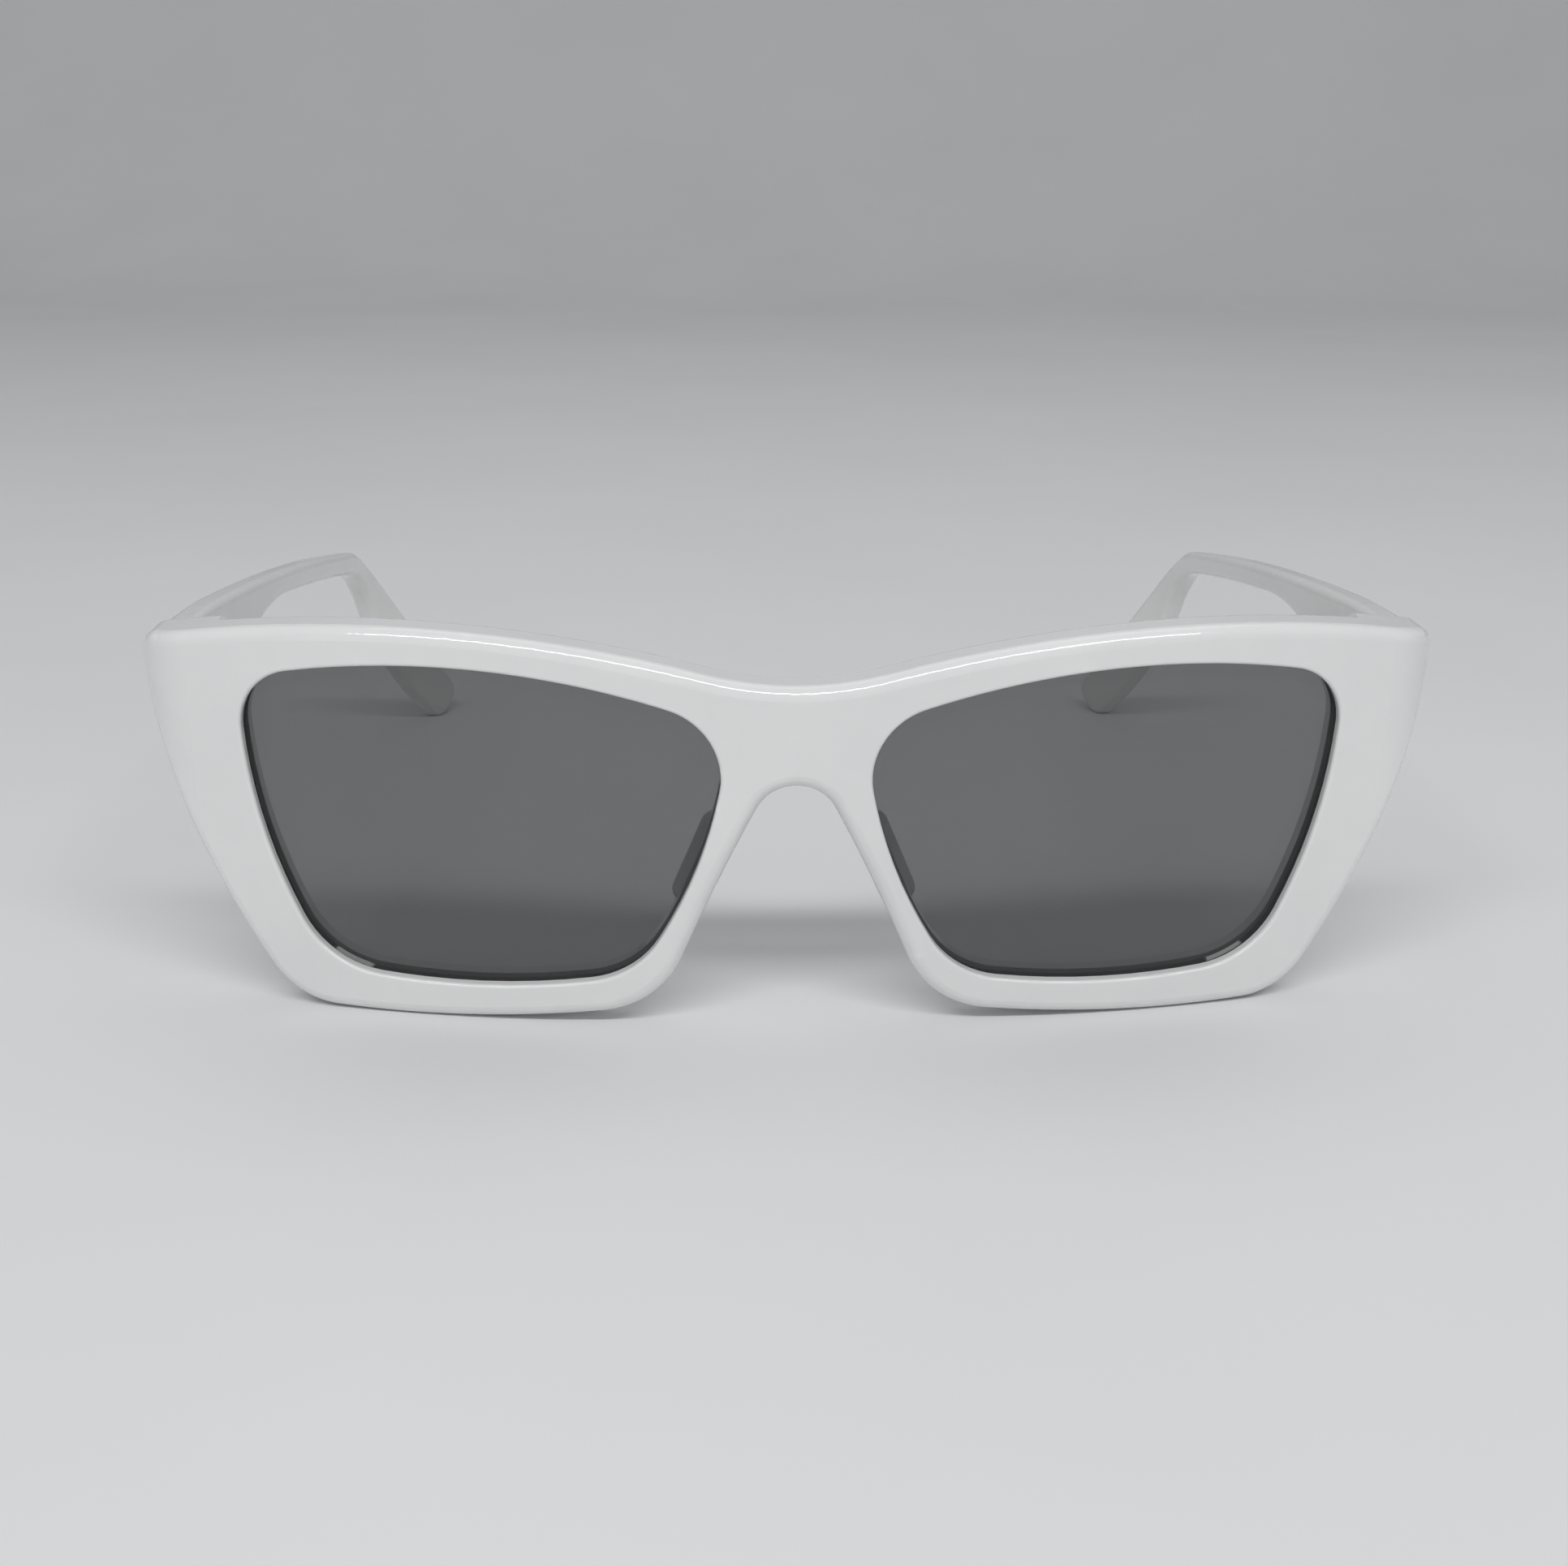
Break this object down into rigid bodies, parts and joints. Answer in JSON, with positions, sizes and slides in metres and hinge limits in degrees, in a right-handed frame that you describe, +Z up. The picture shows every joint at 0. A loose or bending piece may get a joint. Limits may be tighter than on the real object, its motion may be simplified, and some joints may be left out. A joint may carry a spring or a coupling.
{
  "type": "cat eye sunglasses",
  "caption": "Cat eye sunglasses with a glossy acetate front, tinted curved lenses, nose pads and folding temples on barrel hinges.",
  "frame": {"origin": "centre of the bounding box of the open sunglasses, on the surface that the rims and the temple tips rest on", "axes": "+X to the wearer's left, +Y from the front towards the temple tips (the wearer faces -Y), +Z up"},
  "size_m": [0.1472, 0.1328, 0.0464],
  "materials": {
    "acetate": "polished",
    "pad_acetate": "polished",
    "lens_tint": "polished grey tint",
    "hinge_steel": "satin",
    "screw_steel": "polished",
    "core_steel": "drawn wire"
  },
  "bodies": {
    "front": {"front_frame": "acetate", "lens_left": "lens_tint", "lens_right": "lens_tint", "nose_pad_left": "pad_acetate", "nose_pad_right": "pad_acetate", "hinge_front_left": "hinge_steel", "hinge_front_right": "hinge_steel", "hinge_screw_left": "screw_steel", "hinge_screw_right": "screw_steel"},
    "temple_left": {"temple_left": "acetate", "hinge_temple_left": "hinge_steel", "core_wire_left": "core_steel"},
    "temple_right": {"temple_right": "acetate", "hinge_temple_right": "hinge_steel", "core_wire_right": "core_steel"}
  },
  "joints": [
    {"name": "temple_left_fold", "type": "hinge", "parent": "front", "child": "temple_left", "pos_m": [0.0672, -0.0446, 0.03767], "axis": [0, 0.1132, 0.9936], "range_deg": [0, 88]},
    {"name": "temple_right_fold", "type": "hinge", "parent": "front", "child": "temple_right", "pos_m": [-0.0672, -0.0446, 0.03767], "axis": [0, -0.1132, -0.9936], "range_deg": [0, 82]}
  ]
}
